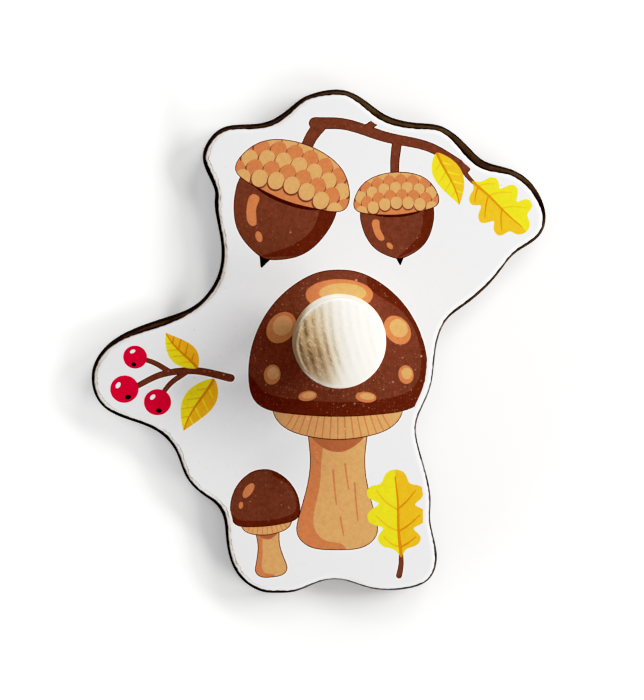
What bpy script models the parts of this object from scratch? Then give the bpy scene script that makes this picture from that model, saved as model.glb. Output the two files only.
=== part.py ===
"""Wooden knob puzzle piece: a plywood board cut to a wavy outline, with a
printed face sheet, a turned grip knob and the countersunk screw that holds it.

Frame: origin at the middle of the board's footprint, on the back face that
rests on the table. +X right, +Y up the picture, +Z out of the printed face.
Units are metres; the constants below are in millimetres and scaled by MM.
"""
import math

import bmesh
import bpy
import numpy as np

MM = 0.001

# ---- driving dimensions (millimetres) --------------------------------------
GAP = 0.30              # clearance kept between pieces that touch

BACK_PLY_T = 1.40       # outer veneer of the back
CORE_PLY_T = 2.40       # thick middle veneer, grain crosswise
FACE_PLY_T = 1.10       # outer veneer under the print
SHEET_T = 0.20          # printed and varnished face sheet
BOARD_T = BACK_PLY_T + CORE_PLY_T + FACE_PLY_T + SHEET_T + 3 * GAP   # 6.0

KNOB_X, KNOB_Y = 5.7, 2.95    # knob axis, from the middle of the footprint
KNOB_H = 20.0                 # printed face to the top of the knob
KNOB_R = 14.10                # largest radius, low on the drum
KNOB_RIM_R = 13.60            # radius at the drum's top edge, a slight taper
KNOB_NECK_R = 8.6             # narrowest radius, under the drum
KNOB_FOOT_R = 10.4            # foot that bears on the printed face
KNOB_DRUM_Z = 10.6            # underside of the drum, above the printed face
KNOB_EDGE_R = 0.6             # rounded top edge of the drum
KNOB_DOME = 1.6               # rise of the top at its centre

SCREW_R = 1.75                # 3.5 mm countersunk wood screw
SCREW_HEAD_R = 3.40
SCREW_L = 20.0
SCREW_SINK = 0.30             # head sits this far below the back face
SCREW_TIP = 4.0               # length of the point
HOLE_R = SCREW_R + GAP
DRIVE_ARM = 3.9               # cross recess: arm to arm
DRIVE_W = 0.75                # cross recess: width of an arm
DRIVE_D = 1.5                 # cross recess: depth

SPAN_STEPS = 4                # outline points for each span between stations
TURN_STEPS = 48

# Stations of the outline, clockwise from the top, in millimetres. Each lobe
# is drawn as one smooth swell, and the waists between them are hollow.
TOP_LOBE = [(-14, 67.5), (-6.5, 73), (-3, 75), (3, 76.5), (9, 76), (15, 72.5)]
RIGHT_SHOULDER = [(21, 68.5), (30, 66.5), (37, 65.5), (44, 60.5), (50, 55)]
UPPER_RIGHT_LOBE = [(58, 52.5), (65, 47.5), (68.5, 39), (66.5, 32.5),
                    (61, 28.5), (57.5, 25.5)]
RIGHT_WAIST = [(53, 19.5), (45, 12), (38.5, 6.5), (35.5, -3), (34, -14),
               (30.5, -22.5), (30, -28.5), (32.5, -38), (34.5, -48), (34.5, -55)]
LOWER_RIGHT_LOBE = [(36.5, -65), (34, -73), (25.5, -76), (16, -75.5), (8, -73)]
BOTTOM_HOLLOW = [(1, -73.5)]
LOWER_LEFT_LOBE = [(-6.5, -76.5), (-12, -77), (-17, -76.5), (-24, -71.5),
                   (-27.5, -62)]
LEFT_FLANK = [(-28.5, -54), (-31, -49.5), (-35, -46.5), (-40, -41),
              (-43, -33.5), (-49, -27)]
LEFT_LOBE = [(-59, -23), (-66, -18.5), (-68.5, -10), (-64, -1.5),
             (-55, 4), (-45, 7.5)]
LEFT_WAIST = [(-36.5, 11.5), (-30.5, 20), (-29.5, 29.5), (-31, 38),
              (-31.5, 42.5), (-31.5, 46)]
LEFT_SHOULDER = [(-34, 52), (-35, 57.5), (-30, 64.5), (-22, 66)]
STATIONS = (TOP_LOBE + RIGHT_SHOULDER + UPPER_RIGHT_LOBE + RIGHT_WAIST
            + LOWER_RIGHT_LOBE + BOTTOM_HOLLOW + LOWER_LEFT_LOBE + LEFT_FLANK
            + LEFT_LOBE + LEFT_WAIST + LEFT_SHOULDER)

# heights, from the back face up
CORE_Z = BACK_PLY_T + GAP
FACE_Z = CORE_Z + CORE_PLY_T + GAP
SHEET_Z = FACE_Z + FACE_PLY_T + GAP


def smooth_loop(points, steps):
    """Closed cubic spline through the points, spaced by the square root of
    the chord, with continuous curvature; steps points for each span."""
    p = np.array(points, float)
    n = len(p)
    h = np.sqrt(np.linalg.norm(np.roll(p, -1, axis=0) - p, axis=1))
    system = np.zeros((n, n))
    right = np.zeros((n, 2))
    for i in range(n):
        a, b = (i - 1) % n, (i + 1) % n
        system[i, a] += h[a]
        system[i, i] += 2 * (h[a] + h[i])
        system[i, b] += h[i]
        right[i] = 6 * ((p[b] - p[i]) / h[i] - (p[i] - p[a]) / h[a])
    bend = np.linalg.solve(system, right)
    loop = []
    for i in range(n):
        b = (i + 1) % n
        for k in range(steps):
            t = h[i] * k / steps
            u = h[i] - t
            loop.append(bend[i] * u ** 3 / (6 * h[i])
                        + bend[b] * t ** 3 / (6 * h[i])
                        + (p[i] / h[i] - bend[i] * h[i] / 6) * u
                        + (p[b] / h[i] - bend[b] * h[i] / 6) * t)
    loop = np.array(loop)
    middle = (loop.max(axis=0) + loop.min(axis=0)) / 2
    return loop - middle


def material(name, colour, roughness, metallic=0.0):
    mat = bpy.data.materials.new(name)
    mat.use_nodes = True
    shader = mat.node_tree.nodes["Principled BSDF"]
    shader.inputs["Base Color"].default_value = (*colour, 1.0)
    shader.inputs["Roughness"].default_value = roughness
    shader.inputs["Metallic"].default_value = metallic
    mat.diffuse_color = (*colour, 1.0)
    return mat


def collection(name):
    made = bpy.data.collections.new(name)
    bpy.context.scene.collection.children.link(made)
    return made


def flat_board(name, outline, z, thickness, target, mat):
    """Flat outline as a filled 2D curve, made a mesh with its caps welded."""
    curve = bpy.data.curves.new(name + "_outline", "CURVE")
    curve.dimensions = "2D"
    curve.fill_mode = "BOTH"
    curve.extrude = thickness * MM / 2
    spline = curve.splines.new("POLY")
    spline.points.add(len(outline) - 1)
    for point, (x, y) in zip(spline.points, outline):
        point.co = (x * MM, y * MM, 0.0, 1.0)
    spline.use_cyclic_u = True
    guide = bpy.data.objects.new(name + "_outline", curve)
    guide.location = (0.0, 0.0, (z + thickness / 2) * MM)
    target.objects.link(guide)
    bpy.context.view_layer.update()

    graph = bpy.context.evaluated_depsgraph_get()
    mesh = bpy.data.meshes.new_from_object(guide.evaluated_get(graph))
    mesh.name = name
    work = bmesh.new()
    work.from_mesh(mesh)
    bmesh.ops.remove_doubles(work, verts=work.verts, dist=1e-6)
    bmesh.ops.recalc_face_normals(work, faces=work.faces)
    work.to_mesh(mesh)
    work.free()
    mesh.materials.clear()
    mesh.materials.append(mat)

    board = bpy.data.objects.new(name, mesh)
    board.matrix_world = guide.matrix_world
    target.objects.link(board)
    bpy.data.objects.remove(guide)
    bpy.data.curves.remove(curve)
    return board


def turned(name, profile, target, mat=None, steps=TURN_STEPS):
    """Body of revolution about Z. The profile is (radius, height) pairs in
    millimetres, from the top of the axis down its outer side to the foot."""
    mesh = bpy.data.meshes.new(name)
    work = bmesh.new()
    row = [work.verts.new((r * MM, 0.0, z * MM)) for r, z in profile]
    for a, b in zip(row, row[1:]):
        work.edges.new((a, b))
    work.to_mesh(mesh)
    work.free()
    if mat:
        mesh.materials.append(mat)
    body = bpy.data.objects.new(name, mesh)
    target.objects.link(body)
    screw = body.modifiers.new("turn", "SCREW")
    screw.axis = "Z"
    screw.angle = math.tau
    screw.steps = steps
    screw.render_steps = steps
    screw.screw_offset = 0.0
    screw.use_merge_vertices = True
    screw.merge_threshold = 1e-6
    screw.use_smooth_shade = True
    return body


def arc(centre, radius, start, end, steps):
    """Points of an arc in the profile plane, angles in degrees."""
    return [(centre[0] + radius * math.cos(math.radians(start + (end - start) * k / steps)),
             centre[1] + radius * math.sin(math.radians(start + (end - start) * k / steps)))
            for k in range(steps + 1)]


def cut(body, cutter):
    hole = body.modifiers.new("cut_" + cutter.name, "BOOLEAN")
    hole.operation = "DIFFERENCE"
    hole.solver = "EXACT"
    hole.object = cutter


def as_cutter(body):
    body.hide_render = True
    body.display_type = "WIRE"
    return body


def knob_profile():
    """Side of the knob from the top of its axis to its foot."""
    top = KNOB_H
    slope = 90 - math.degrees(math.atan(2 * KNOB_DOME / KNOB_RIM_R))
    edge_r = KNOB_RIM_R - KNOB_EDGE_R
    dome_r = edge_r + KNOB_EDGE_R * math.cos(math.radians(slope))
    rim = top - KNOB_DOME - KNOB_EDGE_R * math.sin(math.radians(slope))
    points = [(0.0, top)]
    for k in range(1, 5):                       # domed top
        r = dome_r * k / 5
        points.append((r, top - KNOB_DOME * (r / dome_r) ** 2))
    points += arc((edge_r, rim), KNOB_EDGE_R, slope, 5, 3)
    lower = KNOB_DRUM_Z + 1.3                   # tapered side, rounded below
    points += arc((KNOB_R - 1.3, lower), 1.3, 0, -70, 3)
    start_r, start_z = points[-1]
    drop = start_z - 3.2
    for k in range(1, 6):                       # cove in to the neck
        t = k / 6
        points.append((KNOB_NECK_R + (start_r - KNOB_NECK_R) * (1 - t) ** 2.2,
                       start_z - drop * t))
    points.append((KNOB_NECK_R, 3.2))
    points += [(KNOB_NECK_R + 0.35, 2.3), (KNOB_FOOT_R - 0.5, 1.4)]
    points += [(KNOB_FOOT_R, 0.9), (KNOB_FOOT_R, GAP), (0.0, GAP)]
    return points


def main():
    for thing in list(bpy.data.objects):
        bpy.data.objects.remove(thing, do_unlink=True)
    scene = bpy.context.scene
    scene.unit_settings.system = "METRIC"

    parts = collection("knob_puzzle_piece")
    cutters = collection("cutters")

    birch = material("birch_ply", (0.62, 0.47, 0.30), 0.62)
    core = material("birch_core", (0.50, 0.36, 0.22), 0.70)
    white = material("printed_sheet", (0.84, 0.85, 0.86), 0.34)
    beech = material("turned_knob", (0.80, 0.70, 0.52), 0.55)
    steel = material("zinc_screw", (0.62, 0.62, 0.60), 0.32, 1.0)

    outline = smooth_loop(STATIONS, SPAN_STEPS)

    # ---- board: three veneers and the printed sheet -------------------------
    back_ply = flat_board("back_ply", outline, 0.0, BACK_PLY_T, parts, birch)
    core_ply = flat_board("core_ply", outline, CORE_Z, CORE_PLY_T, parts, core)
    face_ply = flat_board("face_ply", outline, FACE_Z, FACE_PLY_T, parts, birch)
    sheet = flat_board("printed_sheet", outline, SHEET_Z, SHEET_T, parts, white)

    # ---- knob and its screw, on one axis ------------------------------------
    axis = bpy.data.objects.new("knob_axis", None)
    axis.empty_display_size = 0.01
    axis.location = (KNOB_X * MM, KNOB_Y * MM, 0.0)
    parts.objects.link(axis)

    knob = turned("turned_knob", knob_profile(), parts, beech)
    knob.location = (0.0, 0.0, BOARD_T * MM)
    knob.parent = axis

    head_z = SCREW_SINK
    cone_z = head_z + 0.35 + (SCREW_HEAD_R - SCREW_R)     # 90 degree head
    end_z = head_z + SCREW_L
    screw = turned("knob_screw", [
        (0.0, end_z), (0.45, end_z - 0.5), (SCREW_R, end_z - SCREW_TIP),
        (SCREW_R, cone_z), (SCREW_HEAD_R, head_z + 0.35),
        (SCREW_HEAD_R, head_z), (0.0, head_z)], parts, steel, 32)
    screw.parent = axis

    # clearance for the screw: countersink, shank hole and blind pilot hole
    wide = SCREW_HEAD_R + GAP
    bore = as_cutter(turned("screw_bore", [
        (0.0, end_z + GAP + 0.3), (0.45 + GAP, end_z - 0.3),
        (HOLE_R, end_z - SCREW_TIP + 0.1), (HOLE_R, cone_z + 0.12),
        (wide, head_z + 0.35 + 0.12), (wide, -1.0), (0.0, -1.0)],
        cutters, None, 32))
    bore.parent = axis
    for piece in (back_ply, core_ply, face_ply, sheet, knob):
        cut(piece, bore)

    # cross recess in the screw head: two tapered arms
    for turn, name in ((0.0, "recess_arm_a"), (90.0, "recess_arm_b")):
        mesh = bpy.data.meshes.new(name)
        work = bmesh.new()
        bmesh.ops.create_cube(work, size=1.0)
        for vert in work.verts:
            deep = vert.co.z > 0
            vert.co.x *= (DRIVE_ARM * (0.45 if deep else 1.0)) * MM
            vert.co.y *= (DRIVE_W * (0.8 if deep else 1.0)) * MM
            vert.co.z = (head_z + DRIVE_D if deep else head_z - 0.2) * MM
        work.to_mesh(mesh)
        work.free()
        arm = as_cutter(bpy.data.objects.new(name, mesh))
        arm.rotation_euler = (0.0, 0.0, math.radians(turn + 20.0))
        arm.parent = axis
        cutters.objects.link(arm)
        cut(screw, arm)


main()
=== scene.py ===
import math

import bmesh
import bpy
import numpy as np
from mathutils import Matrix, Vector
from mathutils.geometry import delaunay_2d_cdt


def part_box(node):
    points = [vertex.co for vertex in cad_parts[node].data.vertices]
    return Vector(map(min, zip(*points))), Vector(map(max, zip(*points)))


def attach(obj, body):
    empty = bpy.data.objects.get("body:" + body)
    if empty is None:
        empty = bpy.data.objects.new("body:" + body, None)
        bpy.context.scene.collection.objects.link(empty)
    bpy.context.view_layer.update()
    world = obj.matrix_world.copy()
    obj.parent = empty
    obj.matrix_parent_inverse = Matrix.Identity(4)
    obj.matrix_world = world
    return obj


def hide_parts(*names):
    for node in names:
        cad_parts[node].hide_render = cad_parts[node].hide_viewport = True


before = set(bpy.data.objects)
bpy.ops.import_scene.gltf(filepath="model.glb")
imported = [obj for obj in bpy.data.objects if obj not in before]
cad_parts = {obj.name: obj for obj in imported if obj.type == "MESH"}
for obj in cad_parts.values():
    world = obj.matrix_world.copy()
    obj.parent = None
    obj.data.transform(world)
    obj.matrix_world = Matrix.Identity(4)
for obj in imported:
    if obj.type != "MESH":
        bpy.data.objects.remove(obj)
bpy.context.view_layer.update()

MM = 0.001

# ---------------------------------------------------------------------------
# Places that the frame gives (millimetres)
# ---------------------------------------------------------------------------
_lo, _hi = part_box("turned_knob")
KNOB = ((_lo.x + _hi.x) / 2 / MM, (_lo.y + _hi.y) / 2 / MM)
KNOB_TOP = _hi.z / MM
BOARD_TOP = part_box("printed_sheet")[1].z / MM
GLUE_LOW = (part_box("back_ply")[1].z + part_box("core_ply")[0].z) / 2 / MM
GLUE_HIGH = (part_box("core_ply")[1].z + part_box("face_ply")[0].z) / 2 / MM
SHEET_LOW = BOARD_TOP - 0.27
SCREW_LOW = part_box("knob_screw")[0].z / MM
SCREW_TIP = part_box("knob_screw")[1].z / MM

# The board's outline: the same stations and the same spline as the frame's.
STATIONS = [
    (-14, 67.5), (-6.5, 73), (-3, 75), (3, 76.5), (9, 76), (15, 72.5),          # top lobe
    (21, 68.5), (30, 66.5), (37, 65.5), (44, 60.5), (50, 55),                   # right shoulder
    (58, 52.5), (65, 47.5), (68.5, 39), (66.5, 32.5), (61, 28.5), (57.5, 25.5),  # upper right lobe
    (53, 19.5), (45, 12), (38.5, 6.5), (35.5, -3), (34, -14),                   # right waist
    (30.5, -22.5), (30, -28.5), (32.5, -38), (34.5, -48), (34.5, -55),
    (36.5, -65), (34, -73), (25.5, -76), (16, -75.5), (8, -73),                 # lower right lobe
    (1, -73.5),                                                                 # bottom hollow
    (-6.5, -76.5), (-12, -77), (-17, -76.5), (-24, -71.5), (-27.5, -62),        # lower left lobe
    (-28.5, -54), (-31, -49.5), (-35, -46.5), (-40, -41), (-43, -33.5), (-49, -27),   # left flank
    (-59, -23), (-66, -18.5), (-68.5, -10), (-64, -1.5), (-55, 4), (-45, 7.5),  # left lobe
    (-36.5, 11.5), (-30.5, 20), (-29.5, 29.5), (-31, 38), (-31.5, 42.5), (-31.5, 46),  # left waist
    (-34, 52), (-35, 57.5), (-30, 64.5), (-22, 66)]                             # left shoulder

# How far the beam burnt the print back from the edge at each station, in the
# same order. The board lay close to the beam's focus on the right and lower
# right, so its rim there is only a thin line.
BURNT_BACK = [
    0.92, 0.56, 0.6, 0.85, 1.1, 1.7,            # top lobe
    1.6, 1.2, 1.25, 2.15, 2.05,                 # right shoulder
    1.25, 1.6, 1.05, 0.95, 0.8, 0.7,            # upper right lobe
    0.75, 0.9, 0.65, 0.50, 0.50,                # right waist
    0.50, 0.50, 0.50, 0.52, 0.54,
    0.60, 0.62, 0.54, 0.38, 0.32,               # lower right lobe
    0.38,                                       # bottom hollow
    0.66, 0.8, 0.8, 0.72, 0.65,                 # lower left lobe
    0.78, 0.9, 0.8, 0.62, 0.68, 0.92,           # left flank
    0.85, 0.75, 0.6, 0.44, 1.12, 1.22,          # left lobe
    0.38, 0.55, 0.75, 0.8, 0.9, 0.85,           # left waist
    1.2, 0.6, 0.62, 0.75]                       # left shoulder


def smooth_loop(points, steps):
    """Closed cubic spline with continuous curvature through the points.
    Columns after the first two ride along."""
    p = np.array(points, float)
    n = len(p)
    h = np.sqrt(np.linalg.norm((np.roll(p, -1, axis=0) - p)[:, :2], axis=1))
    system, right = np.zeros((n, n)), np.zeros((n, p.shape[1]))
    for i in range(n):
        a, b = (i - 1) % n, (i + 1) % n
        system[i, a] += h[a]
        system[i, i] += 2 * (h[a] + h[i])
        system[i, b] += h[i]
        right[i] = 6 * ((p[b] - p[i]) / h[i] - (p[i] - p[a]) / h[a])
    bend = np.linalg.solve(system, right)
    loop = []
    for i in range(n):
        b = (i + 1) % n
        for k in range(steps):
            t = h[i] * k / steps
            u = h[i] - t
            loop.append(bend[i] * u ** 3 / (6 * h[i]) + bend[b] * t ** 3 / (6 * h[i])
                        + (p[i] / h[i] - bend[i] * h[i] / 6) * u
                        + (p[b] / h[i] - bend[b] * h[i] / 6) * t)
    return np.array(loop)


def normals_of(loop):
    """Outward unit normals of a closed loop, whichever way it runs."""
    t = np.roll(loop, -1, axis=0) - np.roll(loop, 1, axis=0)
    t /= np.maximum(np.linalg.norm(t, axis=1, keepdims=True), 1e-12)
    n = np.stack([t[:, 1], -t[:, 0]], axis=1)
    x, y = loop[:, 0], loop[:, 1]
    area = np.sum(x * np.roll(y, -1) - np.roll(x, -1) * y)
    return n if area > 0 else -n


_coarse = smooth_loop(STATIONS, 4)
_shift = (_coarse.max(axis=0) + _coarse.min(axis=0)) / 2
_fine = smooth_loop([(x, y, w) for (x, y), w in zip(STATIONS, BURNT_BACK)], 10)[::-1]
RIM = _fine[:, :2] - _shift                             # anticlockwise
RIM_N = normals_of(RIM)
RIM = RIM - RIM_N * 0.06                                # keeps within the frame's box
BURNT = np.maximum(_fine[:, 2], 0.14)
COUNT = len(RIM)
_steps = np.linalg.norm(np.roll(RIM, -1, axis=0) - RIM, axis=1)
ALONG = np.concatenate([[0.0], np.cumsum(_steps)[:-1]])
GIRTH = float(_steps.sum())


def waves(seed, longest, shortest, size):
    """A smooth periodic wobble along the outline, in millimetres."""
    rng = np.random.default_rng(seed)
    made = np.zeros(COUNT)
    k = max(1, int(GIRTH / longest))
    while GIRTH / k > shortest:
        made += rng.normal() * np.sin(math.tau * k * ALONG / GIRTH + rng.uniform(0, math.tau))
        k += max(1, k // 7)
    return size * made / max(np.abs(made).max(), 1e-9)


# ---------------------------------------------------------------------------
# Materials
# ---------------------------------------------------------------------------
def lin(code, alpha=1.0):
    v = [int(code[i:i + 2], 16) / 255 for i in (1, 3, 5)]
    return tuple(x / 12.92 if x <= 0.04045 else ((x + 0.055) / 1.055) ** 2.4 for x in v) + (alpha,)


class Finish:
    """A Principled material and short names for the nodes that feed it."""

    def __init__(self, name):
        self.mat = bpy.data.materials.new(name)
        self.mat.use_nodes = True
        self.tree = self.mat.node_tree
        self.shader = self.tree.nodes["Principled BSDF"]
        self.place = self.add("TexCoord").outputs["Object"]

    def add(self, kind, **props):
        node = self.tree.nodes.new("ShaderNode" + kind)
        for key, value in props.items():
            setattr(node, key, value)
        return node

    def put(self, socket, value):
        if isinstance(value, bpy.types.NodeSocket):
            self.tree.links.new(value, socket)
        else:
            socket.default_value = value

    def sets(self, **values):
        for key, value in values.items():
            self.put(self.shader.inputs[key.replace("_", " ")], value)

    def maths(self, operation, *values, clamp=False):
        node = self.add("Math", operation=operation, use_clamp=clamp)
        for socket, value in zip(node.inputs, values):
            self.put(socket, value)
        return node.outputs[0]

    def moved(self, vector, move=(0, 0, 0), turn=0.0):
        """The place moved, then turned about Z (degrees)."""
        shift = self.add("Mapping")
        self.put(shift.inputs["Vector"], vector)
        shift.inputs["Location"].default_value = move
        spin = self.add("Mapping")
        self.put(spin.inputs["Vector"], shift.outputs[0])
        spin.inputs["Rotation"].default_value = (0, 0, math.radians(turn))
        return spin.outputs[0]

    def stretch(self, vector, scale):
        node = self.add("Mapping")
        self.put(node.inputs["Vector"], vector)
        node.inputs["Scale"].default_value = scale
        return node.outputs[0]

    def noise(self, vector, scale, detail=2.0, rough=0.5, bend=0.0):
        node = self.add("TexNoise", noise_dimensions="3D")
        self.put(node.inputs["Vector"], vector)
        node.inputs["Scale"].default_value = scale
        node.inputs["Detail"].default_value = detail
        node.inputs["Roughness"].default_value = rough
        node.inputs["Distortion"].default_value = bend
        return node.outputs["Fac"]

    def fade(self, value, low, high, out_low=0.0, out_high=1.0):
        node = self.add("MapRange", interpolation_type="SMOOTHSTEP")
        for key, x in (("Value", value), ("From Min", low), ("From Max", high),
                       ("To Min", out_low), ("To Max", out_high)):
            self.put(node.inputs[key], x)
        return node.outputs["Result"]

    def mix(self, factor, a, b, blend="MIX"):
        node = self.add("Mix", data_type="RGBA", blend_type=blend)
        self.put(node.inputs[0], factor)
        self.put(node.inputs[6], a)
        self.put(node.inputs[7], b)
        return node.outputs[2]

    def shade(self, colour, factor):
        """The colour times a grey factor that may pass 1."""
        node = self.add("VectorMath", operation="SCALE")
        self.put(node.inputs[0], colour)
        self.put(node.inputs["Scale"], factor)
        return node.outputs[0]

    def rgb(self, colour):
        node = self.add("RGB")
        node.outputs[0].default_value = colour
        return node.outputs[0]

    def field(self, name):
        return self.add("Attribute", attribute_name=name).outputs["Fac"]

    def bump(self, height, strength, distance, under=None):
        node = self.add("Bump")
        node.inputs["Strength"].default_value = strength
        node.inputs["Distance"].default_value = distance
        self.put(node.inputs["Height"], height)
        if under is not None:
            self.put(node.inputs["Normal"], under)
        return node.outputs[0]


def printed(name, code, depth=1.0, painted_glints=1.0, paper=False):
    """Ink under satin varnish: paper mottle, print grain, and pale specks painted on as the varnish's glints."""
    f = Finish(name)
    broad = f.noise(f.place, 30, 3, 0.5)
    mottle = f.noise(f.place, 700, 4, 0.65)
    grain = f.noise(f.place, 2600, 2, 0.6)
    fibre = f.noise(f.stretch(f.moved(f.place, turn=17), (900, 130, 900)), 1.0, 3, 0.6)
    tone = f.maths("MULTIPLY_ADD", f.maths("SUBTRACT", broad, 0.5), 0.16 * depth, 1.0)
    tone = f.maths("MULTIPLY_ADD", f.maths("SUBTRACT", mottle, 0.5), 0.70 * depth, tone)
    tone = f.maths("MULTIPLY_ADD", f.maths("SUBTRACT", grain, 0.5), 0.75 * depth, tone)
    tone = f.maths("MULTIPLY_ADD", f.maths("SUBTRACT", fibre, 0.5), 0.16 * depth, tone)
    colour = f.shade(f.rgb(lin(code)), tone)
    if paper:
        rim, fringe_side, painted_edge_side = f.field("rim"), f.field("fringe_side"), f.field("painted_edge_side")
        cloud = f.noise(f.place, 240, 3, 0.6)
        # painted highlight: a brighter band where the sheet rounds over, whiter still on the left side
        painted_rim_highlight = f.maths("MULTIPLY", f.fade(rim, 0.10, 0.28), f.fade(rim, 0.75, 1.60, 1.0, 0.0))
        colour = f.shade(colour, f.maths("MULTIPLY_ADD", painted_rim_highlight, 0.085, 1.0))
        # painted shade: a faint grey line inside it, on the left side only
        shade_line_at = f.maths("MULTIPLY_ADD", f.maths("SUBTRACT", f.noise(f.place, 300, 3, 0.6), 0.5), 2.0, rim)
        line = f.maths("MULTIPLY", f.fade(shade_line_at, 0.70, 0.86), f.fade(shade_line_at, 0.94, 1.14, 1.0, 0.0))
        line = f.maths("MULTIPLY", line, f.maths("MULTIPLY", painted_edge_side, f.fade(cloud, 0.34, 0.58, 0.15, 1.0)))
        colour = f.mix(f.maths("MULTIPLY", f.maths("MULTIPLY", painted_rim_highlight, painted_edge_side), 0.55), colour, lin("#F3ECDD"))
        colour = f.mix(f.maths("MULTIPLY", line, 0.85), colour, lin("#83776A"))
        # the print is tinted brown close to the rim, more on the upper left
        reach = f.maths("MULTIPLY_ADD", cloud, 0.7, f.maths("MULTIPLY_ADD", fringe_side, 1.15, 0.10))
        near = f.maths("POWER", f.fade(f.maths("DIVIDE", rim, reach), -0.10, 1.7, 1.0, 0.0), 1.8)
        near = f.maths("MULTIPLY", near, f.maths("MULTIPLY_ADD", fringe_side, 0.80, 0.12))
        near = f.maths("MULTIPLY", near, f.fade(rim, 0.16, 0.34, 1.0, 0.45))
        colour = f.mix(near, colour, lin("#6E533D"))
        lip = f.fade(rim, 0.02, 0.14, 0.96, 0.0)
        wisp = f.fade(f.noise(f.place, 170, 3, 0.6), 0.42, 0.66, 0.15, 0.85)
        wisp = f.maths("MULTIPLY", f.field("faint"), wisp, clamp=True)
        colour = f.mix(lip, colour, f.mix(wisp, lin("#1E120C"), lin("#8C8B8B")))
    # painted glints: the varnish's sparkle painted as pale specks, thickest near the knob
    if painted_glints:
        reach = f.add("VectorMath", operation="DISTANCE")
        f.put(reach.inputs[0], f.stretch(f.place, (1, 1, 0)))
        reach.inputs[1].default_value = ((KNOB[0] - 6) * MM, (KNOB[1] - 14) * MM, 0)
        close = f.fade(reach.outputs["Value"], 0.010, 0.052, 1.0, 0.10)
        drift = f.noise(f.place, 95, 2)
        share = f.maths("MULTIPLY", close, f.fade(drift, 0.30, 0.62))
        for scale, wide, odds, strength, tint in ((1150, 0.32, 0.60, 0.34, "#CE8A74"),
                                                  (640, 0.25, 0.40, 0.50, "#D6927F"),
                                                  (350, 0.15, 0.20, 0.72, "#EBBFB0")):
            cells = f.add("TexVoronoi", feature="F1", voronoi_dimensions="2D")
            f.put(cells.inputs["Vector"], f.place)
            cells.inputs["Scale"].default_value = scale
            chance = f.add("SeparateColor")
            f.put(chance.inputs[0], cells.outputs["Color"])
            size = f.maths("MULTIPLY_ADD", chance.outputs[1], wide * 0.6, wide * 0.5)
            ragged = f.maths("MULTIPLY_ADD", f.maths("SUBTRACT", grain, 0.5), wide * 1.1, cells.outputs["Distance"])
            dot = f.fade(ragged, f.maths("MULTIPLY", size, 0.2), size, 1.0, 0.0)
            limit = f.maths("MULTIPLY_ADD", share, -odds * painted_glints, 0.992)
            dot = f.maths("MULTIPLY", dot, f.maths("GREATER_THAN", chance.outputs[0], limit))
            dot = f.maths("MULTIPLY", dot, f.maths("MULTIPLY_ADD", chance.outputs[2], 0.75, 0.25))
            colour = f.mix(f.maths("MULTIPLY", dot, strength), colour, lin(tint))
    f.sets(Base_Color=colour)
    f.sets(Roughness=f.maths("MULTIPLY_ADD", mottle, 0.12, 0.17))
    f.sets(Specular_IOR_Level=0.30)
    level = f.maths("MULTIPLY_ADD", mottle, 0.7, f.maths("MULTIPLY", grain, 0.3))
    f.sets(Normal=f.bump(level, 0.12, 0.00005))
    return f.mat


def charred(name, low, high, pale, middle):
    """Laser-cut edge of a veneer: soot at its faces, browner in its middle."""
    f = Finish(name)
    apart = f.add("SeparateXYZ")
    f.put(apart.inputs[0], f.place)
    z = apart.outputs["Z"]
    strokes = f.noise(f.stretch(f.place, (1, 1, 0.07)), 1900, 3, 0.65)
    blots = f.noise(f.place, 160, 3, 0.55)
    up = f.fade(z, low * MM, (low + (high - low) * 0.55) * MM)
    down = f.fade(z, (high - (high - low) * 0.30) * MM, high * MM, 1.0, 0.25)
    bare = f.maths("MULTIPLY", up, down)
    bare = f.maths("MULTIPLY", bare, f.maths("MULTIPLY_ADD", strokes, 1.3, 0.05), clamp=True)
    bare = f.maths("MULTIPLY", bare, f.fade(blots, 0.30, 0.62, 0.35, 1.0))
    bare = f.maths("MULTIPLY", bare, middle)
    soot = f.mix(strokes, lin("#0A0402"), lin("#1C0D08"))
    # painted shade: the deep field darkens the walls that face the lamps, on the upper right
    colour = f.shade(f.mix(bare, soot, lin(pale)), f.maths("MULTIPLY_ADD", f.field("deep"), -0.72, 1.0))
    f.sets(Base_Color=colour, Roughness=0.9, Specular_IOR_Level=0.04)
    f.sets(Normal=f.bump(strokes, 0.5, 0.00012))
    return f.mat


def scorched(name):
    """Top veneer between the cut edge and the print: burnt brown, and black
    along both its borders. Where the smoke went, and as painted shade on the
    lower left away from the lamps, it is black all over."""
    f = Finish(name)
    ring, soot = f.field("ring"), f.field("soot")
    strokes = f.noise(f.place, 1500, 4, 0.68)
    blots = f.noise(f.place, 210, 3, 0.55)
    bare = f.maths("MULTIPLY", f.fade(ring, 0.05, 0.16), f.fade(ring, 0.66, 0.86, 1.0, 0.0))
    bare = f.maths("MULTIPLY", bare, f.maths("MULTIPLY_ADD", strokes, 0.9, 0.35), clamp=True)
    bare = f.maths("MULTIPLY", bare, f.fade(blots, 0.28, 0.60, 0.45, 1.0))
    # the soot field is black char, and painted shade on the lower left away from the lamps
    bare = f.maths("MULTIPLY", bare, f.maths("SUBTRACT", 1.0, soot))
    black = f.mix(strokes, lin("#0C0503"), lin("#200F09"))
    colour = f.mix(bare, black, lin("#54402F"))
    # where the beam was in focus the line is thin, and only grey in places
    wisp = f.fade(f.noise(f.place, 170, 3, 0.6), 0.42, 0.66, 0.15, 0.85)
    wisp = f.maths("MULTIPLY", f.field("faint"), wisp, clamp=True)
    colour = f.mix(f.maths("MULTIPLY", wisp, 0.85), colour, lin("#7D7C7C"))
    f.sets(Base_Color=colour, Roughness=0.9, Specular_IOR_Level=0.04)
    f.sets(Normal=f.bump(strokes, 0.5, 0.00012))
    return f.mat


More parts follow.
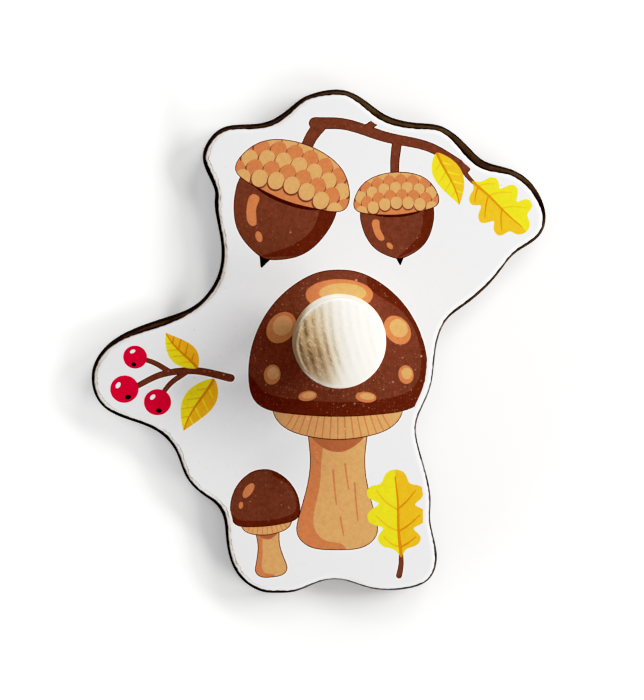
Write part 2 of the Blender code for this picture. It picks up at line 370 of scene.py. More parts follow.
def birch(name, light, dark, turn):
    """Bare rotary-cut veneer, smoked near the cut edge."""
    f = Finish(name)
    at = f.moved(f.place, turn=turn)
    wide = f.noise(f.stretch(at, (55, 4.2, 55)), 1.0, 3, 0.55, 0.6)
    bands = f.maths("SINE", f.maths("MULTIPLY", wide, 42.0))
    bands = f.maths("MULTIPLY_ADD", bands, 0.5, 0.5)
    thin = f.noise(f.stretch(at, (2600, 90, 2600)), 1.0, 3, 0.7)
    cloud = f.noise(f.place, 34, 3, 0.5)
    pores = f.fade(f.noise(f.stretch(at, (3300, 260, 3300)), 1.0, 2, 0.5), 0.63, 0.72)
    amount = f.maths("MULTIPLY_ADD", bands, 0.34, f.maths("MULTIPLY", thin, 0.5))
    amount = f.maths("MULTIPLY_ADD", cloud, 0.35, f.maths("SUBTRACT", amount, 0.18), clamp=True)
    colour = f.mix(amount, lin(light), lin(dark))
    colour = f.mix(f.maths("MULTIPLY", pores, 0.35), colour, lin("#7B5836"))
    rim = f.field("rim")
    edge = f.noise(f.place, 260, 3, 0.6)
    smoke = f.fade(f.maths("SUBTRACT", rim, f.maths("MULTIPLY", edge, 1.6)), -0.7, 2.2, 0.75, 0.0)
    colour = f.mix(smoke, colour, lin("#6E4A2B"))
    burnt = f.fade(f.maths("SUBTRACT", rim, f.maths("MULTIPLY", edge, 0.5)), -0.1, 0.35, 0.95, 0.0)
    colour = f.mix(burnt, colour, lin("#1C100B"))
    f.sets(Base_Color=colour, Specular_IOR_Level=0.35)
    f.sets(Roughness=f.maths("MULTIPLY_ADD", thin, 0.2, 0.5))
    f.sets(Normal=f.bump(thin, 0.25, 0.00008))
    return f.mat


def turned_wood(name):
    """Pale long-grain beech: growth bands, short flecks, sanding lines. The
    growth bands lie close together and dark on one side, and the other side
    is nearly white sapwood. The dark left side is also painted shade, away
    from the lamps, and the rim carries painted light and shade."""
    f = Finish(name)
    at = f.moved(f.place, (-KNOB[0] * MM, -KNOB[1] * MM, 0), -15)   # grain along Y
    bend = f.add("TexNoise", noise_dimensions="3D")
    f.put(bend.inputs["Vector"], f.stretch(at, (70, 16, 70)))
    bend.inputs["Scale"].default_value = 1.0
    bend.inputs["Detail"].default_value = 2.0
    shifted = f.add("VectorMath", operation="MULTIPLY_ADD")
    f.put(shifted.inputs[0], bend.outputs["Color"])
    shifted.inputs[1].default_value = (0.0030, 0.0030, 0.0030)
    f.put(shifted.inputs[2], at)
    trunk = f.add("Mapping")
    f.put(trunk.inputs["Vector"], f.stretch(shifted.outputs[0], (1, 0.06, 1)))
    trunk.inputs["Location"].default_value = (0.040, 0.0, 0.010)
    radius = f.add("VectorMath", operation="LENGTH")
    f.put(radius.inputs[0], trunk.outputs[0])
    phase = f.maths("MULTIPLY", radius.outputs["Value"], 2 * math.pi / 0.00195)
    band = f.maths("MULTIPLY_ADD", f.maths("SINE", phase), 0.5, 0.5)
    band = f.maths("POWER", band, 1.25)
    patch = f.noise(f.stretch(at, (300, 90, 300)), 1.0, 3, 0.65)
    band = f.maths("MULTIPLY", band, f.fade(patch, 0.32, 0.60, 0.45, 1.0))
    # the streaks are broken up into short slanting dashes
    slant = f.moved(at, turn=-24)
    torn = f.noise(f.stretch(slant, (1900, 620, 1900)), 1.0, 4, 0.72)
    band = f.maths("MULTIPLY", band, f.fade(torn, 0.36, 0.54, 0.40, 1.0))
    side = f.add("SeparateXYZ")
    f.put(side.inputs[0], shifted.outputs[0])
    # heartwood, and painted shade: darker on the left, away from the lamps, lifted towards the bottom and at the
    # far left edge
    heart_and_shade = f.fade(side.outputs["X"], -0.0090, 0.0060, 1.0, 0.0)
    heart_and_shade = f.maths("MULTIPLY", heart_and_shade, f.fade(side.outputs["Y"], -0.0120, 0.0005, 0.25, 1.0))
    heart_and_shade = f.maths("MULTIPLY", heart_and_shade, f.fade(side.outputs["X"], -0.0135, -0.0100, 0.60, 1.0))
    centre = f.fade(f.maths("ABSOLUTE", f.maths("ADD", side.outputs["X"], 0.0070)), 0.0005, 0.0075, 1.0, 0.0)
    centre = f.maths("MULTIPLY", centre, f.fade(side.outputs["Y"], 0.0095, -0.001))
    centre = f.maths("MULTIPLY", centre, f.fade(side.outputs["Y"], -0.0130, -0.007))
    hair = f.noise(f.stretch(at, (2500, 210, 2500)), 1.0, 4, 0.75)
    dash = f.fade(f.noise(f.stretch(slant, (2100, 640, 2100)), 1.0, 3, 0.6), 0.55, 0.68)
    pale = f.fade(f.noise(f.stretch(slant, (1600, 520, 1600)), 1.0, 3, 0.6), 0.53, 0.66)
    weight = f.maths("MULTIPLY_ADD", heart_and_shade, 0.88, 0.12)
    weight = f.maths("MULTIPLY", weight, f.fade(side.outputs["Y"], -0.0120, -0.0020, 0.40, 1.0))
    colour = f.mix(heart_and_shade, lin("#FBF7EC"), lin("#D6BC96"))
    colour = f.mix(f.maths("MULTIPLY", centre, 0.46), colour, lin("#98764A"))
    colour = f.mix(f.maths("MULTIPLY", f.maths("MULTIPLY", band, 0.95), weight), colour, lin("#76542F"))
    colour = f.mix(f.maths("MULTIPLY", f.maths("MULTIPLY", f.fade(hair, 0.42, 0.72), 0.38), weight),
                   colour, lin("#8E6E42"))
    colour = f.mix(f.maths("MULTIPLY", f.maths("MULTIPLY", dash, 0.42), weight), colour, lin("#785A33"))
    colour = f.mix(f.maths("MULTIPLY", f.maths("MULTIPLY", pale, 0.52), heart_and_shade), colour, lin("#F0DFC0"))
    # painted light: paler towards the bottom of the top face, which the lamps light less
    near = f.maths("MULTIPLY", f.fade(side.outputs["Y"], -0.0128, -0.0085, 1.0, 0.0), 0.55)
    colour = f.mix(near, colour, lin("#F6EEE0"))
    flank, groove = f.field("side"), f.field("groove")
    right = f.fade(side.outputs["X"], -0.004, 0.006)
    # painted shade: the rim is darker round the upper left, away from the lamps
    upper_left_shade = f.maths("MULTIPLY", f.fade(side.outputs["X"], -0.0110, -0.0050, 1.0, 0.0),
                   f.fade(side.outputs["Y"], -0.0065, -0.0010))
    # and paler where it is turned to the light at the top
    high = f.maths("MULTIPLY", f.fade(f.maths("ABSOLUTE", side.outputs["X"]), 0.0030, 0.0085, 1.0, 0.0),
                   f.fade(side.outputs["Y"], 0.004, 0.010))
    flank_tint = f.mix(upper_left_shade, f.mix(right, lin("#CDB489"), lin("#D8B988")), lin("#98825A"))
    colour = f.mix(f.maths("MULTIPLY", flank, f.maths("MULTIPLY_ADD", high, 0.40, 0.55)), colour,
                   f.mix(high, flank_tint, lin("#FFF7E8")))
    # painted shade: the groove is darkened on the right side
    colour = f.mix(f.maths("MULTIPLY", groove, f.maths("MULTIPLY", right, 0.60)), colour, lin("#8C7C55"))
    out = f.add("VectorMath", operation="LENGTH")
    f.put(out.inputs[0], f.stretch(at, (1, 1, 0)))
    # painted shade: a darker ring where the top rounds over at the upper left
    rim_shade = f.maths("MULTIPLY", f.fade(out.outputs["Value"], 0.01285, 0.01325), upper_left_shade)
    colour = f.mix(f.maths("MULTIPLY", rim_shade, 0.85), colour, lin("#A88E64"))
    thread = f.maths("MULTIPLY", f.fade(out.outputs["Value"], 0.01215, 0.01250),
                     f.fade(out.outputs["Value"], 0.01270, 0.01300, 1.0, 0.0))
    colour = f.mix(f.maths("MULTIPLY", f.maths("MULTIPLY", thread, upper_left_shade), 0.45), colour, lin("#F2E4C8"))
    # painted highlight: the lip is paler all round except at the upper left
    lip = f.maths("MULTIPLY", f.field("lip"), f.maths("MULTIPLY_ADD", upper_left_shade, -1.0, 1.0))
    colour = f.mix(f.maths("MULTIPLY", lip, 0.85), colour, lin("#FFFCF6"))
    f.sets(Base_Color=colour, Specular_IOR_Level=0.36)
    f.sets(Roughness=f.maths("MULTIPLY_ADD", hair, 0.20, 0.36))
    lines = f.maths("MULTIPLY_ADD", hair, 0.7, f.maths("MULTIPLY", band, 0.3))
    f.sets(Normal=f.bump(lines, 0.20, 0.00010))
    return f.mat


def zinc(name, dark=False):
    f = Finish(name)
    brushed = f.noise(f.stretch(f.place, (900, 900, 6000)), 1.0, 3, 0.6)
    spots = f.noise(f.place, 1400, 4, 0.6)
    base = ("#6F6E68", "#8E8C84") if dark else ("#B9B8B0", "#DAD9D2")
    f.sets(Base_Color=f.mix(spots, lin(base[0]), lin(base[1])), Metallic=1.0)
    f.sets(Roughness=f.maths("MULTIPLY_ADD", brushed, 0.25, 0.20))
    f.sets(Normal=f.bump(spots, 0.2, 0.00003))
    return f.mat


def worktop(name):
    """White studio table whose surface glows a little as painted light, more
    so to the left away from the lamps and far from the board, and less beside
    the board's waist and left lobe as a painted shadow. From below it is
    clear, so that the back of the piece can be looked at."""
    f = Finish(name)
    mottled = f.noise(f.place, 8, 2, 0.5)
    apart = f.add("SeparateXYZ")
    f.put(apart.inputs[0], f.place)
    # painted light: the table glows, more on the left
    glow = f.fade(apart.outputs["X"], -0.062, 0.016, 0.35, 0.065)
    # painted shadow: a patch at the upper left where the glow is lowered
    dim = f.maths("MULTIPLY", f.fade(apart.outputs["X"], -0.046, -0.034, 1.0, 0.0),
                  f.fade(apart.outputs["Y"], -0.006, 0.006, 0.0, 0.70))
    # painted shadow: the glow is cut only close to the board, beside its waist and along its left lobe
    slant = f.maths("MULTIPLY_ADD", apart.outputs["X"], -0.455, apart.outputs["Y"])
    dim = f.maths("MULTIPLY", dim, f.maths("MAXIMUM", f.fade(apart.outputs["X"], -0.055, -0.043),
                                           f.fade(slant, 0.033, 0.041, 0.6, 0.0)))
    glow = f.maths("MULTIPLY", glow, f.maths("SUBTRACT", 1.0, dim))
    # painted light: the glow grows from 72 to 114 mm out from the middle
    reach = f.add("VectorMath", operation="LENGTH")
    f.put(reach.inputs[0], f.stretch(f.place, (1, 1, 0)))
    glow = f.maths("ADD", glow, f.fade(reach.outputs["Value"], 0.072, 0.114, 0.0, 0.25))
    colour = f.shade(f.rgb(lin("#FBFBFB")), f.maths("MULTIPLY_ADD", mottled, 0.01, 0.99))
    f.sets(Base_Color=colour, Roughness=0.95, Specular_IOR_Level=0.05)
    f.sets(Emission_Color=(1, 1, 1, 1), Emission_Strength=glow)
    out = f.tree.nodes["Material Output"]
    clear = f.add("BsdfTransparent")
    both = f.add("MixShader")
    f.put(both.inputs[0], f.add("NewGeometry").outputs["Backfacing"])
    f.put(both.inputs[1], f.shader.outputs[0])
    f.put(both.inputs[2], clear.outputs[0])
    f.put(out.inputs["Surface"], both.outputs[0])
    return f.mat


# ---------------------------------------------------------------------------
# Mesh helpers
# ---------------------------------------------------------------------------
def piece(name, verts, faces, mats, kinds=None, fields=None, smooth=35.0):
    mesh = bpy.data.meshes.new(name)
    mesh.from_pydata([tuple(v) for v in verts], [], faces)
    for mat in mats:
        mesh.materials.append(mat)
    if kinds is not None:
        mesh.polygons.foreach_set("material_index", kinds)
    for key, values in (fields or {}).items():
        layer = mesh.attributes.new(key, "FLOAT", "POINT")
        layer.data.foreach_set("value", np.asarray(values, np.float32))
    mesh.update()
    mesh.validate()
    if smooth:
        mesh.shade_smooth()
        mesh.set_sharp_from_angle(angle=math.radians(smooth))
    made = bpy.data.objects.new(name, mesh)
    bpy.context.scene.collection.objects.link(made)
    return made


def inside(points, polygon):
    """Which points lie in the closed polygon (even-odd rule)."""
    x, y = points[:, 0], points[:, 1]
    found = np.zeros(len(points), bool)
    low, high = polygon.min(axis=0), polygon.max(axis=0)
    near = (x >= low[0]) & (x <= high[0]) & (y >= low[1]) & (y <= high[1])
    if not near.any():
        return found
    px, py = x[near], y[near]
    hit = np.zeros(len(px), bool)
    for (x0, y0), (x1, y1) in zip(polygon, np.roll(polygon, -1, axis=0)):
        if y0 == y1:
            continue
        cross = (y0 > py) != (y1 > py)
        hit ^= cross & (px < (x1 - x0) * (py - y0) / (y1 - y0) + x0)
    found[near] = hit
    return found


def triangulated(loops):
    """Triangles of the plane cut by closed loops. Gives points, triangles,
    and for each loop's own points their numbers in the result."""
    verts, edges, spans = [], [], []
    for loop in loops:
        first = len(verts)
        verts += [Vector((float(x), float(y))) for x, y in loop]
        n = len(loop)
        edges += [(first + i, first + (i + 1) % n) for i in range(n)]
        spans.append((first, n))
    out = delaunay_2d_cdt(verts, edges, [], 0, 1e-7, True)
    points = np.array([(v.x, v.y) for v in out[0]])
    triangles = np.array([tuple(t) for t in out[2]])
    named = {}
    for new, old in enumerate(out[3]):
        for o in old:
            named[o] = new
    rings = [[named[first + i] for i in range(n)] for first, n in spans]
    return points, triangles, rings


def anticlockwise(points, triangles):
    a, b, c = (points[triangles[:, i]] for i in range(3))
    area = (b[:, 0] - a[:, 0]) * (c[:, 1] - a[:, 1]) - (b[:, 1] - a[:, 1]) * (c[:, 0] - a[:, 0])
    keep = np.abs(area) > 1e-9
    turned_over = triangles.copy()
    turned_over[area < 0] = turned_over[area < 0][:, ::-1]
    return turned_over[keep]


def circle(radius, steps, centre=KNOB):
    a = np.arange(steps) * math.tau / steps
    return np.stack([centre[0] + radius * np.cos(a), centre[1] + radius * np.sin(a)], axis=1)


def board(name, profile, hole, mats, wall, flat_low, flat_high, art=None, steps=48, edge=0.0):
    """A board of the outline's shape. profile is (inset, height, ink) rings
    from the middle of the underside round the edge to the middle of the top;
    hole is (radius, height) rings of the screw hole, from below. art gives
    the loops and the inks of the top face. edge is the inset from which the
    field rim counts."""
    verts, faces, kinds = [], [], []
    far = {"rim": 9.0, "ring": 1.0, "fringe_side": 0.0, "painted_edge_side": 0.0, "soot": 1.0, "deep": 0.0, "faint": 0.0}
    fields = {key: [] for key in far}
    way = np.degrees(np.arctan2(RIM_N[:, 1], RIM_N[:, 0]))

    def facing(middle, half):
        off = np.abs((way - middle + 180) % 360 - 180)
        return np.clip(1 - off / half, 0, 1) ** 0.7

    # how each stretch of edge faces: fringe_side tints the print brown near the rim on the upper left;
    # painted_edge_side places the painted highlight band and painted shade line on the left; soot is black char,
    # and painted shade on the lower left away from the lamps; deep is painted shade on the walls that face the
    # lamps
    fringe_side, painted_edge_side, soot, deep = facing(156, 80), facing(188, 75), facing(215, 100), facing(35, 75)
    soot = np.maximum(soot, facing(18, 32))
    faint = np.clip((0.66 - BURNT) / 0.2, 0, 1.3) * np.clip(facing(318, 105) * 2, 0, 1)

    def ring(loop, z, values):
        first = len(verts)
        verts.extend(zip(loop[:, 0] * MM, loop[:, 1] * MM, np.broadcast_to(z, len(loop)) * MM))
        for key in far:
            fields[key].extend(np.broadcast_to(values.get(key, far[key]), len(loop)))
        return list(range(first, first + len(loop)))

    def band(a, b, kind):
        n = len(a)
        for i in range(n):
            j = (i + 1) % n
            faces.append((a[i], a[j], b[j], b[i]))
            kinds.append(kind)

    loops = []
    outer = []
    for inset, z, kind in profile:
        inset = np.broadcast_to(inset, COUNT)
        loop = RIM - RIM_N * inset[:, None]
        outer.append(ring(loop, z, {"rim": inset - edge, "ring": np.clip(inset / BURNT, 0, 1),
                                    "fringe_side": fringe_side, "painted_edge_side": painted_edge_side, "soot": soot, "deep": deep,
                                    "faint": faint}))
        loops.append(loop)
    for a, b, (_, _, kind) in zip(outer, outer[1:], profile[1:]):
        band(a, b, kind)
    inner = [ring(circle(r, steps), z, {}) for r, z in hole]
    for a, b in zip(inner, inner[1:]):
        band(b, a, wall)

    def cap(edge_ring, hole_ring, outer_loop, hole_loop, z, up, kind, extra=None):
        every = [outer_loop, hole_loop] + (extra.loops if extra else [])
        points, triangles, rings = triangulated(every)
        triangles = anticlockwise(points, triangles)
        middle = points[triangles].mean(axis=1)
        keep = inside(middle, outer_loop) & ~inside(middle, hole_loop)
        triangles, middle = triangles[keep], middle[keep]
        index = {}
        for mine, theirs in zip(rings[0], edge_ring):
            index[mine] = theirs
        for mine, theirs in zip(rings[1], hole_ring):
            index[mine] = theirs
        for t in np.unique(triangles):
            if t not in index:
                index[t] = len(verts)
                verts.append((points[t][0] * MM, points[t][1] * MM, z * MM))
                for key, value in far.items():
                    fields[key].append(value)
        inks = extra.inks(middle) if extra else [kind] * len(triangles)
        for t, ink in zip(triangles, inks):
            a, b, c = (index[int(i)] for i in t)
            faces.append((a, b, c) if up else (c, b, a))
            kinds.append(int(ink))

    cap(outer[0], inner[0], loops[0], circle(hole[0][0], steps), profile[0][1], False, flat_low)
    cap(outer[-1], inner[-1], loops[-1], circle(hole[-1][0], steps), profile[-1][1], True,
        flat_high, art)
    return piece(name, verts, faces, mats, kinds, fields, 40.0)


def lathe(name, profile, mats, steps, centre=KNOB, smooth=35.0, kinds=None, fields=None):
    """Turned body about the knob's axis. profile runs from the axis at the
    top down the outer side to the axis at the bottom, in millimetres. fields
    holds a value for each ring."""
    verts, faces, marks = [], [], []
    rows = []
    spread = {key: [] for key in fields or {}}
    for number, (r, z) in enumerate(profile):
        for key in spread:
            spread[key] += [fields[key][number]] * (1 if r < 1e-6 else steps)
        if r < 1e-6:
            rows.append([len(verts)])
            verts.append((centre[0] * MM, centre[1] * MM, z * MM))
        else:
            first = len(verts)
            for k in range(steps):
                a = math.tau * k / steps
                verts.append(((centre[0] + r * math.cos(a)) * MM, (centre[1] + r * math.sin(a)) * MM, z * MM))
            rows.append(list(range(first, first + steps)))
    for i, (a, b) in enumerate(zip(rows, rows[1:])):
        for k in range(steps):
            j = (k + 1) % steps
            if len(a) == 1:
                faces.append((a[0], b[k], b[j]))
            elif len(b) == 1:
                faces.append((a[k], b[0], a[j]))
            else:
                faces.append((a[k], b[k], b[j], a[j]))
            marks.append(kinds[i] if kinds else 0)
    return piece(name, verts, faces, mats, marks, spread, smooth)


# ---------------------------------------------------------------------------
# The printed picture: an acorn sprig, mushrooms, leaves and berries
# ---------------------------------------------------------------------------
INKS = ["ground", "white", "line", "brown", "brown_low", "tan", "tan_low", "sand", "crimson",
        "crimson_low", "yellow", "amber", "honey", "black"]
INK = {key: i for i, key in enumerate(INKS)}


def blob(points, steps=8):
    return smooth_loop(points, steps)


def oval(x, y, rx, ry, turn=0.0, steps=56):
    a = np.arange(steps) * math.tau / steps
    c, s = math.cos(math.radians(turn)), math.sin(math.radians(turn))
    px, py = rx * np.cos(a), ry * np.sin(a)
    return np.stack([x + px * c - py * s, y + px * s + py * c], axis=1)


def moved(poly, x, y, size=1.0, turn=0.0):
    c, s = math.cos(math.radians(turn)), math.sin(math.radians(turn))
    p = np.asarray(poly, float) * size
    return np.stack([x + p[:, 0] * c - p[:, 1] * s, y + p[:, 0] * s + p[:, 1] * c], axis=1)


def grown(poly, by):
    """The polygon grown by a distance, with its sharp tips held short."""
    poly = np.asarray(poly, float)
    a = poly - np.roll(poly, 1, axis=0)
    b = np.roll(poly, -1, axis=0) - poly
    x, y = poly[:, 0], poly[:, 1]
    sign = 1.0 if np.sum(x * np.roll(y, -1) - np.roll(x, -1) * y) > 0 else -1.0
    na = np.stack([a[:, 1], -a[:, 0]], axis=1) / np.linalg.norm(a, axis=1, keepdims=True) * sign
    nb = np.stack([b[:, 1], -b[:, 0]], axis=1) / np.linalg.norm(b, axis=1, keepdims=True) * sign
    n = na + nb
    n /= np.maximum(np.linalg.norm(n, axis=1, keepdims=True), 1e-9)
    reach = 1.0 / np.clip((n * nb).sum(axis=1), 0.55, 1.0)
    return poly + n * (by * reach)[:, None]


def path_through(points, steps=10):
    """Open smooth path (Catmull-Rom) through the points."""
    p = [np.array(q, float) for q in points]
    p = [2 * p[0] - p[1]] + p + [2 * p[-1] - p[-2]]
    out = []
    for a, b, c, d in zip(p, p[1:], p[2:], p[3:]):
        for k in range(steps):
            t = k / steps
            out.append(0.5 * (2 * b + (c - a) * t + (2 * a - 5 * b + 4 * c - d) * t * t
                              + (3 * b - a - 3 * c + d) * t ** 3))
    out.append(p[-2])
    return np.array(out)


def stroke(points, wide, end=None, steps=8, tips=5):
    """A line of changing width with round ends, as a closed polygon."""
    end = wide if end is None else end
    line = path_through(points, steps)
    t = np.gradient(line, axis=0)
    t /= np.linalg.norm(t, axis=1, keepdims=True)
    n = np.stack([-t[:, 1], t[:, 0]], axis=1)
    w = np.linspace(wide, end, len(line))[:, None] / 2
    left, right = line + n * w, line - n * w
    cap_end = [line[-1] + (t[-1] * math.sin(a) + n[-1] * math.cos(a)) * w[-1]
               for a in np.linspace(0, math.pi, tips + 2)[1:-1]]
    cap_start = [line[0] + (-t[0] * math.sin(a) - n[0] * math.cos(a)) * w[0]
                 for a in np.linspace(0, math.pi, tips + 2)[1:-1]]
    return np.concatenate([left, cap_end, right[::-1], cap_start])


class Picture:
    """Inked shapes in paint order, the last on top."""

    def __init__(self):
        self.layers = []

    def paint(self, poly, ink, clip=None):
        self.layers.append((np.asarray(poly, float), INK[ink], clip))

    def motif(self, shapes):
        """shapes: (polygon, ink, width of its dark edge, clip)."""
        for poly, ink, edge, clip in shapes:
            if edge:
                self.paint(grown(poly, edge), "line", clip)
            self.paint(poly, ink, clip)

    def joined(self, shapes):
        """Shapes that flow into one another, with one dark edge round all."""
        for poly, ink, edge, clip in shapes:
            self.paint(grown(poly, edge), "line", clip)
        for poly, ink, edge, clip in shapes:
            self.paint(poly, ink, clip)

    @property
    def loops(self):
        return [poly for poly, _, _ in self.layers]

    def inks(self, middle):
        found = np.zeros(len(middle), int)
        for poly, ink, clip in self.layers:
            hit = inside(middle, poly)
            if clip is not None:
                hit &= inside(middle, clip)
            found[hit] = ink
        return found


def acorn(x, y, size, turn, reach=20.5):
    nut = blob([(-13, 2), (-13.2, -5.5), (-9.2, -13.6), (-3.2, -17.4), (0, -18.2), (3.2, -17.4),
                (9.2, -13.6), (13.2, -5.5), (13, 2), (8, 5), (0, 6), (-8, 5)])
    cup = blob([(-15.2, 1.2), (-15.6, 5), (-11.6, 11), (-4, 14), (4, 14), (11.6, 11), (15.6, 5),
                (15.2, 1.2), (8, -0.9), (0, -1.6), (-8, -0.9)])
    tip = blob([(-1.7, -17.4), (-1.0, -19.2), (0, -21), (1.0, -19.2), (1.7, -17.4), (0, -17.0)])
    stalk = stroke([(0, 12.4), (0.4, 9 + reach * 0.38), (1.6, reach)], 2.6, 3.2)
    place = lambda p: moved(p, x, y, size, turn)
    edge = 0.26
    shapes = [(place(stalk), "brown", edge, None), (place(tip), "black", 0, None),
              (place(nut), "brown", edge, None)]
    low = blob([(-1, -18.1), (5.0, -15.9), (9.6, -13.2), (13.4, -5.5), (13.2, 3), (9.4, 3),
                (9.6, -4.5), (6.4, -11.6), (2.0, -15.6)])
    shapes.append((place(low), "brown_low", 0, place(nut)))
    shade = blob([(-14, 2.2), (-7.6, -1.6), (0, -2.6), (7.6, -1.6), (14, 2.2), (8, 4), (0, 4), (-8, 4)])
    shapes.append((place(shade), "line", 0, place(nut)))
    shine = blob([(-9.4, -3.4), (-9.4, -6.6), (-7.1, -11.0), (-5.4, -10.6), (-6.8, -6.4), (-6.9, -3.6),
                  (-8.1, -2.9)])
    shapes.append((place(shine), "tan", 0, place(nut)))
    shapes.append((place(oval(-3.5, -13.3, 0.9, 1.5, 38)), "tan", 0, place(nut)))
    shapes.append((place(cup), "tan", edge, None))
    clip = place(cup)
    for row, level in enumerate((12.6, 9.8, 7.0, 4.2, 1.4)):
        for k in range(-4, 5):
            cx = k * 4.4 + (2.2 if row % 2 else 0.0)
            cy = level - 0.0154 * cx * cx
            shapes.append((place(oval(cx, cy + 1.05, 2.40, 2.55, 0, 30)), "brown", 0, clip))
            shapes.append((place(oval(cx, cy + 1.45, 2.18, 2.40, 0, 30)),
                           "tan" if row % 2 else "sand", 0, clip))
    return shapes


def mushroom(x, y, size, turn, spots=True):
    cap = blob([(-28, -9.5), (-26.6, 2), (-19.5, 15), (-8, 23.4), (0, 24.8), (8, 23.4), (19.5, 15),
                (26.6, 2), (28, -9.5), (25.2, -17.6), (14, -20.8), (0, -21.6), (-14, -20.8),
                (-25.2, -17.6)])
    gills = blob([(-20, -18.5), (-17.4, -24.6), (-8, -28.2), (0, -29.0), (8, -28.2), (17.4, -24.6),
                  (20, -18.5), (9, -15), (-9, -15)])
    stem = blob([(-8.4, -22), (-8.6, -33), (-9.4, -44), (-12.0, -54), (-12.4, -59.5), (-8.5, -63.4),
                 (0, -64.4), (8.5, -63.4), (12.4, -59.5), (12.0, -54), (9.4, -44), (8.6, -33),
                 (8.4, -22), (0, -20)])
    place = lambda p: moved(p, x, y, size, turn)
    edge = 0.26
    shapes = [(place(stem), "sand", edge, None)]
    side = blob([(-10, -20), (-4.6, -20), (-4.8, -33), (-5.6, -44), (-7.4, -53), (-7.0, -58),
                 (-3.5, -61.6), (2, -63), (2, -66), (-10, -66), (-14, -60), (-14, -50), (-10.6, -40)])
    shapes.append((place(side), "tan", 0, place(stem)))
    under = blob([(-10, -26), (0, -33.2), (10, -26), (10, -22), (0, -22), (-10, -22)])
    shapes.append((place(under), "tan_low", 0, place(stem)))
    if spots:
        for dx, top, foot in ((-1.4, -39, -50), (2.4, -37, -45), (5.4, -43, -55), (1.0, -54, -60)):
            line = stroke([(dx, top), (dx + 0.5, (top + foot) / 2), (dx + 1.1, foot)], 0.62, 0.40, 4, 3)
            shapes.append((place(line), "tan", 0, place(stem)))
    shapes.append((place(gills), "sand", edge, None))
    for k in range(-7, 8) if spots else range(-4, 5):
        step, wide = (1.0, 0.50) if spots else (1.75, 0.9)
        foot = (k * 2.55 * step, -30 + 0.06 * (k * step) ** 2)
        line = stroke([(k * 1.7 * step, -16.5), (k * 2.15 * step, -23), foot], wide, wide * 0.7, 4, 2)
        shapes.append((place(line), "tan", 0, place(gills)))
    shapes.append((place(cap), "brown", edge, None))
    low = blob([(-30, -7), (-24.5, -12.6), (-14, -16.2), (0, -17.2), (14, -16.2), (24.0, -12.2),
                (25.8, 0), (19, 12.6), (9, 20.4), (12, 26), (26, 16), (32, -4), (30, -22), (0, -26),
                (-30, -22)])
    shapes.append((place(low), "brown_low", 0, place(cap)))
    if spots:
        for sx, sy, rx, ry, a in ((0.2, 17.0, 10.6, 5.0, 0), (-18.0, 6.6, 4.2, 5.4, -38),
                                  (18.6, 5.8, 3.8, 5.0, 38), (-20.8, -8.4, 2.6, 3.2, -10),
                                  (21.4, -8.4, 2.4, 3.0, 10), (-9.6, -15.2, 2.9, 1.6, 8),
                                  (8.8, -15.6, 3.3, 1.7, -6)):
            shapes.append((place(oval(sx, sy, rx, ry, a)), "tan", 0, place(cap)))
            shapes.append((place(oval(sx + rx * 0.10, sy + ry * 0.12, rx * 0.70, ry * 0.62, a)), "sand", 0,
                           place(cap)))
    else:
        shapes.append((place(oval(-12, 9, 3.4, 7.0, -40)), "tan", 0, place(cap)))
        shapes.append((place(oval(-19.4, -2.6, 1.8, 3.0, -14)), "tan", 0, place(cap)))
    return shapes


def leaf(x, y, length, width, turn, ink="yellow", other="amber", bend=0.10, veins=4):
    """A pointed leaf from its base at (x, y), along +Y before it is turned."""
    n = 40
    left, right, middle = [], [], []
    for k in range(n + 1):
        t = k / n
        half = width / 2 * math.sin(math.pi * t ** 0.82) ** 0.95
        drift = bend * length * math.sin(math.pi * t * 0.9) * t
        left.append((drift - half, length * t))
        right.append((drift + half, length * t))
        middle.append((drift, length * t))
    place = lambda p: moved(p, x, y, 1.0, turn)
    shape = place(np.array(left + right[::-1][1:-1]))
    half = place(np.array(middle + right[::-1][1:-1]))
    shapes = [(place(stroke([(-0.9, -4.6), (-0.2, -2.0), (0, 1.2)], 1.2, 0.8, 5, 3)), "brown", 0.16, None),
              (shape, ink, 0, None), (half, other, 0, shape)]
    for k in range(1, veins + 1):
        t = k / (veins + 1.4)
        mx = bend * length * math.sin(math.pi * t * 0.9) * t
        reach = width / 2 * math.sin(math.pi * t ** 0.82) ** 0.95 * 0.80
        for side, tone in ((-1, other), (1, "honey" if other == "amber" else "amber")):
            line = stroke([(mx, length * t), (mx + side * reach * 0.55, length * t + reach * 0.42),
                           (mx + side * reach, length * t + reach * 0.74)], 0.50, 0.30, 4, 2)
            shapes.append((place(line), tone, 0, shape))
    shapes.append((place(stroke(middle[::5][:-1] + [middle[-2]], 0.85, 0.35, 3, 2)), "honey", 0, shape))
    return shapes


